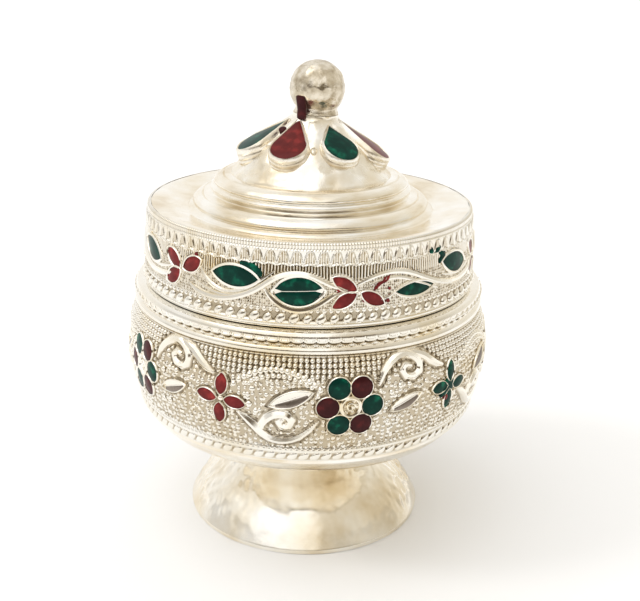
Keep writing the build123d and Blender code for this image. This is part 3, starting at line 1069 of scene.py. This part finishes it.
def make_overflow():
    """Enamel that ran over its cells where the box was painted: the photographed side alone."""
    green = [
        (-18.0, 39.75, -20.0, almond(3.0, 1.15)), (-16.2, 39.4, -35.0, almond(1.7, 0.8)),
        (42.7, 40.8, 0.0, disc(0.3)), (45.6, 40.75, 20.0, almond(1.1, 0.5)),
        (48.2, 40.1, -30.0, almond(1.4, 0.7)), (47.2, 39.5, 60.0, almond(1.0, 0.5)),
    ]
    red = [
        (21.4, 37.75, 50.0, almond(0.9, 0.32)), (22.4, 38.1, 50.0, almond(1.1, 0.36)),
        (23.6, 38.4, 50.0, almond(1.2, 0.38)), (24.9, 38.55, 50.0, almond(1.1, 0.36)),
        (25.8, 37.4, 20.0, disc(0.16)), (25.3, 36.0, 0.0, disc(0.22)), (-38.2, 40.1, 0.0, disc(0.24)),
        (-40.6, 39.4, 0.0, disc(0.18)), (9.6, 37.7, 0.0, almond(0.9, 0.4)), (17.2, 36.3, 30.0, disc(0.2)),
    ]
    for colour, spots in (("green_enamel", green), ("red_enamel", red)):
        bm = bmesh.new()
        for azimuth, z, tilt, outline in spots:
            place = on_skin(band_skin, azimuth, z, tilt)
            add_drop(bm, outline, place, edge=0.16, crown=0.04, sink=0.1)
        keep_piece(f"band_{colour}_overflow", bm, "lid", [], colour)
    bm = bmesh.new()
    star = quatrefoil_azimuth + pair_turn
    pool = on_skin(belt_skin, star, belt_mid)
    add_drop(bm, disc(0.95), pool, edge=0.16, crown=0.08, sink=0.1)
    run = on_skin(belt_skin, star - 1.6, belt_mid - 0.5, tilt=40.0)
    add_drop(bm, almond(2.6, 1.0), run, edge=0.18, crown=0.06, sink=0.1)
    keep_piece("belt_green_overflow", bm, "bowl", [], "green_enamel")
    bm = bmesh.new()
    spot = on_skin(belt_skin, star - 1.5, belt_mid - 1.5)
    add_drop(bm, disc(0.42), spot, edge=0.2, crown=0.05, sink=0.1)
    keep_piece("belt_red_overflow", bm, "bowl", [], "red_enamel")


def finial_skin(z):
    """Radius of the flower's neck and the lower half of the ball."""
    heights = (knob_z - 1.3, knob_z - 0.6, knob_z, knob_z + 0.6, knob_z + 1.6, knob_z + 3.1)
    return np.interp(z, heights, (3.4, 3.1, 3.0, 2.95, 3.15, 3.45))


def make_drip():
    """A run of red enamel from a petal's tip up the neck, and a blot beside the petal."""
    bm = bmesh.new()

    def strip(x, y):
        return np.hypot(np.maximum(np.abs(x) - 0.3, 0), np.maximum(np.abs(y) - 1.15, 0)) - 0.32

    run = on_skin(finial_skin, -36.0, knob_z + 0.95, tilt=4.0)
    add_drop(bm, strip, run, edge=0.2, crown=0.1, sink=0.6)
    azimuth, shift, _, twist = petal_cups[0]
    petal = on_cup(azimuth, shift, twist)

    def blot(x, y, out):
        return petal(x - 3.1, y - 1.6, out)

    add_drop(bm, disc(0.5), blot, edge=0.15, crown=0.1, sink=0.6)
    lean_over(bm)
    keep_piece("finial_red_overflow", bm, "lid", [], "maroon_enamel")


def make_lid_top():
    deck_low = deck_z - 0.52
    step_z = deck_low + 1.93
    rim = 20.2
    bore = 1.55
    spigot = 19.85
    corners = [
        (bore, seat_z), (10.6, seat_z, 0.2), (11.0, seat_z - 0.08), (11.12, seat_z - 0.28),
        (11.3, seat_z - 0.14), (11.7, seat_z - 0.28, 0.35), (12.5, seat_z - 0.95, 0.35),
        (12.2, seat_z - 1.3, 0.1), (12.75, seat_z - 1.6, 0.12), (12.6, step_z + 0.15, 0.1),
        (13.2, step_z, 0.2), (13.6, step_z - 0.06), (13.72, step_z - 0.28), (13.9, step_z - 0.14),
        (14.4, step_z - 0.3, 0.4), (15.15, step_z - 1.0, 0.35), (14.85, step_z - 1.35, 0.1),
        (15.5, deck_low + 0.25, 0.12), (15.7, deck_low + 0.02, 0.2), (rim - 0.5, deck_z + 0.34, 0.5),
        (rim, deck_z + 0.34, 0.1), (rim, deck_z), (spigot, deck_z), (spigot, under_z, 0.1),
        (14.5, under_z, 0.4), (13.7, under_z + 0.8, 0.4), (11.5, step_z - 0.8, 0.4),
        (11.5, seat_z - 1.6, 0.3), (9.35, seat_z - 0.8, 0.4), (bore, seat_z - 0.8),
    ]
    bm = turned(corners, steps=224, grain=0.4)
    dent(bm, depth=0.1, scale=0.45)
    keep_piece("lid_cover", bm, "lid", ["lid_top"], "turned")


def lean_over(bm):
    """Leans the finial a little to the right on its flat base, as it stands on the box."""
    for vert in bm.verts:
        rise = max(vert.co.z - seat_z * mm, 0)
        vert.co.z -= finial_lean * vert.co.x * min(rise / (3 * mm), 1)
        vert.co.x += finial_lean * rise


def boss_skin(z):
    """Radius of the flower's boss at a height."""
    heights = (seat_z, seat_z + 1.1, seat_z + 2.3, knob_z - 1.3, knob_z - 0.4, knob_z)
    return np.interp(z, heights, (flower_r - 0.02, 9.0, 8.2, 3.5, 2.8, 2.8))


def swell_boss(boss, middle):
    """Swells the boss between two petals."""
    for vert in boss.verts:
        turn = wrap(degrees(atan2(vert.co.x, -vert.co.y)) - middle, 360)
        z = vert.co.z / mm
        swell = 0.45 * float(mound(turn, 16.0)) * min(max((z - seat_z - 1.8) / 1.5, 0), 1)
        swell *= min(max((knob_z - 0.3 - z) / 0.8, 0), 1)
        flat = hypot(vert.co.x, vert.co.y)
        if flat > 2 * mm:
            vert.co.x *= 1 + swell * mm / flat
            vert.co.y *= 1 + swell * mm / flat


def make_petal_enamel(cup, outline, place):
    bm = bmesh.new()
    add_drop(bm, outline, place, edge=0.05, crown=0.1, sink=0.5)
    lean_over(bm)
    node = f"petal_enamel_{cup + 1}"
    colour, finish = petal_enamels[cup % 2]
    keep_piece(f"{node}_fill", bm, "lid", [node], finish, sharp=60)


def make_flower():
    """The cast boss swelling between the petals, and six pear-shaped cups with stepped sides and rims."""
    corners = [
        (0, seat_z), (flower_r - 0.02, seat_z), (flower_r - 0.12, seat_z + 0.2, 0.1),
        (9.0, seat_z + 1.1, 0.9), (8.1, seat_z + 2.4, 1.2), (3.5, knob_z - 1.3, 0.8),
        (2.8, knob_z - 0.4, 0.3), (2.8, knob_z), (0, knob_z),
    ]
    boss = turned(corners, steps=180, grain=0.3, closed=False)
    cups = bmesh.new()
    sides = bmesh.new()
    beads = bmesh.new()
    for cup, (azimuth, shift, length, twist) in enumerate(petal_cups):
        outline = pear(length, cup_width)
        place = on_cup(azimuth, shift, twist)
        for step, (half_width, low, high) in enumerate(cup_steps):
            ring = sides if step else cups
            add_rim(ring, outline, place, half_width, (high - low) / 2, grow=0.05, lift=(low + high) / 2)
        make_petal_enamel(cup, outline, place)
        following = petal_cups[(cup + 1) % len(petal_cups)][0]
        middle = azimuth + wrap(following - azimuth, 360) / 2
        bead = on_skin(boss_skin, middle - 2, seat_z + 4.0)
        add_drop(beads, disc(0.42), bead, edge=0.6, crown=0.3, sink=0.4)
        swell_boss(boss, middle)
    dent(boss, depth=0.22, scale=0.6)
    dent(boss, depth=0.06, scale=1.7)
    for name, bm in (("boss", boss), ("cups", cups), ("cup_sides", sides), ("beads", beads)):
        dent(bm, depth=0.08, scale=0.8)
        lean_over(bm)
        finish = "cup_side" if name == "cup_sides" else "cast"
        keep_piece(f"flower_{name}", bm, "lid", ["finial_flower"], finish, sharp=50)


def make_knob():
    ball_z = ball_top - ball_r
    radius = ball_r - 0.02
    arc = [(radius * sin(radians(turn)), ball_z - radius * cos(radians(turn))) for turn in range(48, 180, 4)]
    foot_z = knob_z + 0.02
    corners = [(0, foot_z), (2.75, foot_z, 0.12), (2.5, knob_z + 0.55, 0.2), *arc, (0, ball_z + radius)]
    bm = turned(corners, steps=128, grain=0.25, closed=False)
    dent(bm, depth=0.18, scale=0.6)
    dent(bm, depth=0.08, scale=1.8)
    lean_over(bm)
    keep_piece("knob_ball", bm, "lid", ["finial_knob"], "knob")


# Stage

def make_floor():
    bm = bmesh.new()
    bmesh.ops.create_grid(bm, x_segments=1, y_segments=1, size=3)
    mesh = bpy.data.meshes.new("floor")
    bm.to_mesh(mesh)
    bm.free()
    floor = bpy.data.objects.new("floor", mesh)
    bpy.context.scene.collection.objects.link(floor)
    material, tree, shader = new_material("floor_paper")
    feed(tree, shader, Base_Color=(0.985, 0.99, 1.0, 1), Roughness=0.9, Specular_IOR_Level=0.1)
    mesh.materials.append(material)


def room_colour(tree):
    """A pale room, with a dark strip and a white panel over it in front."""
    way = add_node(tree, "TexCoord").outputs["Generated"]
    x, y, z = add_node(tree, "SeparateXYZ", Vector=way).outputs
    strip = (
        (0.0, (0.75, 0.72, 0.66)), (0.06, (0.36, 0.31, 0.24)), (0.12, (0.13, 0.1, 0.07)),
        (0.31, (0.16, 0.125, 0.085)), (0.41, (0.76, 0.7, 0.6)), (0.7, (0.88, 0.84, 0.77)),
    )
    panel = add_ramp(tree, z, (0.36, (0, 0, 0)), (0.42, (0.5, 0.54, 0.6)), (0.9, (0.4, 0.42, 0.46)))
    left_of = add_range(tree, x, low=1.0, high=0.0, first=0.2, last=0.3)
    near = add_mix(tree, "ADD", left_of, add_ramp(tree, z, *strip), panel)
    wall_tones = (0.0, (1.0, 0.985, 0.955)), (0.5, (0.96, 0.94, 0.9)), (0.75, (1.0, 1.0, 1.0))
    glow = add_ramp(tree, y, (0.3, (0, 0, 0)), (0.7, (0.12, 0.125, 0.14)))
    far = add_mix(tree, "ADD", 1.0, add_ramp(tree, z, *wall_tones), glow)
    depth = add_range(tree, y, low=0.0, high=1.0, first=-0.2, last=0.3)
    flank = add_range(tree, add_math(tree, "ABSOLUTE", x), low=0.0, high=0.75, first=0.6, last=0.8)
    both = add_mix(tree, "MIX", add_math(tree, "MAXIMUM", depth, flank), near, far)
    across = add_range(tree, x, low=0.0, high=1.0, first=-1.0, last=1.0)
    side = add_ramp(tree, across, (0.55, (1, 1, 1)), (0.8, (0.9, 0.87, 0.8)))
    return add_mix(tree, "MULTIPLY", 1.0, both, side)


def make_room():
    """A room for the metal to mirror, which the camera sees as plain white."""
    world = bpy.data.worlds.new("room")
    bpy.context.scene.world = world
    world.use_nodes = True
    tree = world.node_tree
    tree.nodes.clear()
    room = add_node(tree, "Background", Color=room_colour(tree), Strength=0.94)
    white = add_node(tree, "Background", Color=(1, 1, 1, 1))
    seen = add_node(tree, "LightPath").outputs["Is Camera Ray"]
    pick = add_node(tree, "MixShader", Fac=seen)
    for socket, shown in zip(pick.inputs[1:], (room, white)):
        tree.links.new(shown.outputs["Background"], socket)
    add_node(tree, "OutputWorld", Surface=pick.outputs["Shader"])


def make_lamps():
    """Soft light from above, and from a window at the left that the metal doesn't mirror."""
    lamps = (("ceiling_light", 0.3, 38, (0.36, 0.06, -0.93)), ("window_light", 0.5, 14, (0.72, 0.12, -0.66)))
    for name, energy, angle, aim in lamps:
        lamp = bpy.data.lights.new(name, "SUN")
        lamp.energy = energy
        lamp.angle = radians(angle)
        light = bpy.data.objects.new(name, lamp)
        bpy.context.scene.collection.objects.link(light)
        light.rotation_euler = Vector(aim).to_track_quat("-Z", "Y").to_euler()
        light.visible_glossy = name == "ceiling_light"


def make_camera():
    """The photograph's viewpoint, fitted to the lid, seam and foot."""
    photo_width_px = 640
    focal_px = 1036
    stand = Vector((0, -129.64, 75.30))
    yaw, pitch, roll = 0.012, 0.343, 0.026
    ahead = Vector((sin(yaw) * cos(pitch), cos(yaw) * cos(pitch), -sin(pitch)))
    right = ahead.cross(Vector((0, 0, 1))).normalized()
    up = right.cross(ahead)
    across = right * cos(roll) + up * sin(roll)
    upward = up * cos(roll) - right * sin(roll)
    lens = bpy.data.cameras.new("camera")
    lens.sensor_fit = "HORIZONTAL"
    lens.sensor_width = 36
    lens.lens = lens.sensor_width * focal_px / photo_width_px
    lens.clip_start = 0.005
    lens.clip_end = 10
    camera = bpy.data.objects.new("camera", lens)
    turn = Matrix((across, upward, -ahead)).transposed().to_4x4()
    camera.matrix_world = Matrix.Translation(stand * mm) @ turn
    bpy.context.scene.collection.objects.link(camera)
    bpy.context.scene.camera = camera


make_bowl_wall()
make_scrolls()
make_silver_leaves()
make_belt_beads()
make_belt_rims()
make_eyes()
make_base_dish()
make_foot()
make_neck()
make_lid_band()
make_band_ornament()
make_lid_top()
make_flower()
make_knob()
make_drip()
make_overflow()
for pair in range(pairs):
    make_cell_enamel(belt_cells(pair), belt_skin, "bowl", edge=0.12, crown=0.08)
for wave in range(waves):
    make_cell_enamel(band_cells(wave), band_skin, "lid", edge=0.08, crown=0.08)
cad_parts["finial_screw"].material_slots[0].material = materials["turned"]
make_floor()
make_room()
make_lamps()
make_camera()
bpy.context.scene.view_settings.view_transform = "Standard"
